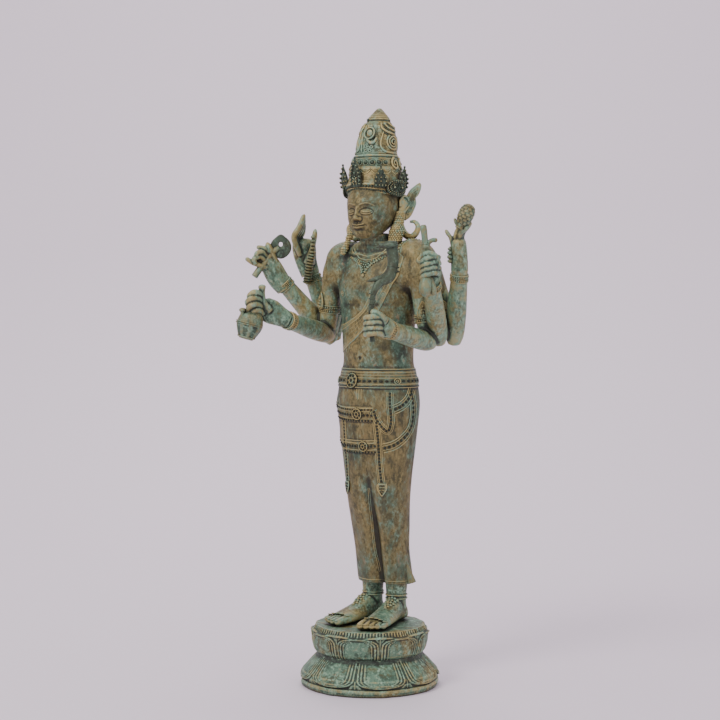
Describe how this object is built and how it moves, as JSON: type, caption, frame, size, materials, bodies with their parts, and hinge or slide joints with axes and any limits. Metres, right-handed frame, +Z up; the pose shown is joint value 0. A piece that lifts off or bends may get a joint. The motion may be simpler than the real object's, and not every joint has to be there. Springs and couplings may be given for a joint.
{
  "type": "six-armed shiva figure on a lotus plinth",
  "caption": "Standing six-armed Shiva of cast green bronze in a tall crown and a jewelled sarong, holding attributes, built together with a round double-lotus plinth.",
  "frame": {"origin": "centre of the round plinth's underside", "axes": "+Z up through the figure; the figure faces -Y and its own left hand side is +X"},
  "size_m": [0.239, 0.1795, 0.6],
  "materials": {
    "figure_bronze": "cast bronze under a matt green and ochre patina, dark in the hollows",
    "plinth_bronze": "cast bronze under a matt blue-green patina with ochre raised lines"
  },
  "bodies": {
    "root": {"shiva_figure": "figure_bronze", "lotus_plinth": "plinth_bronze"}
  },
  "joints": []
}
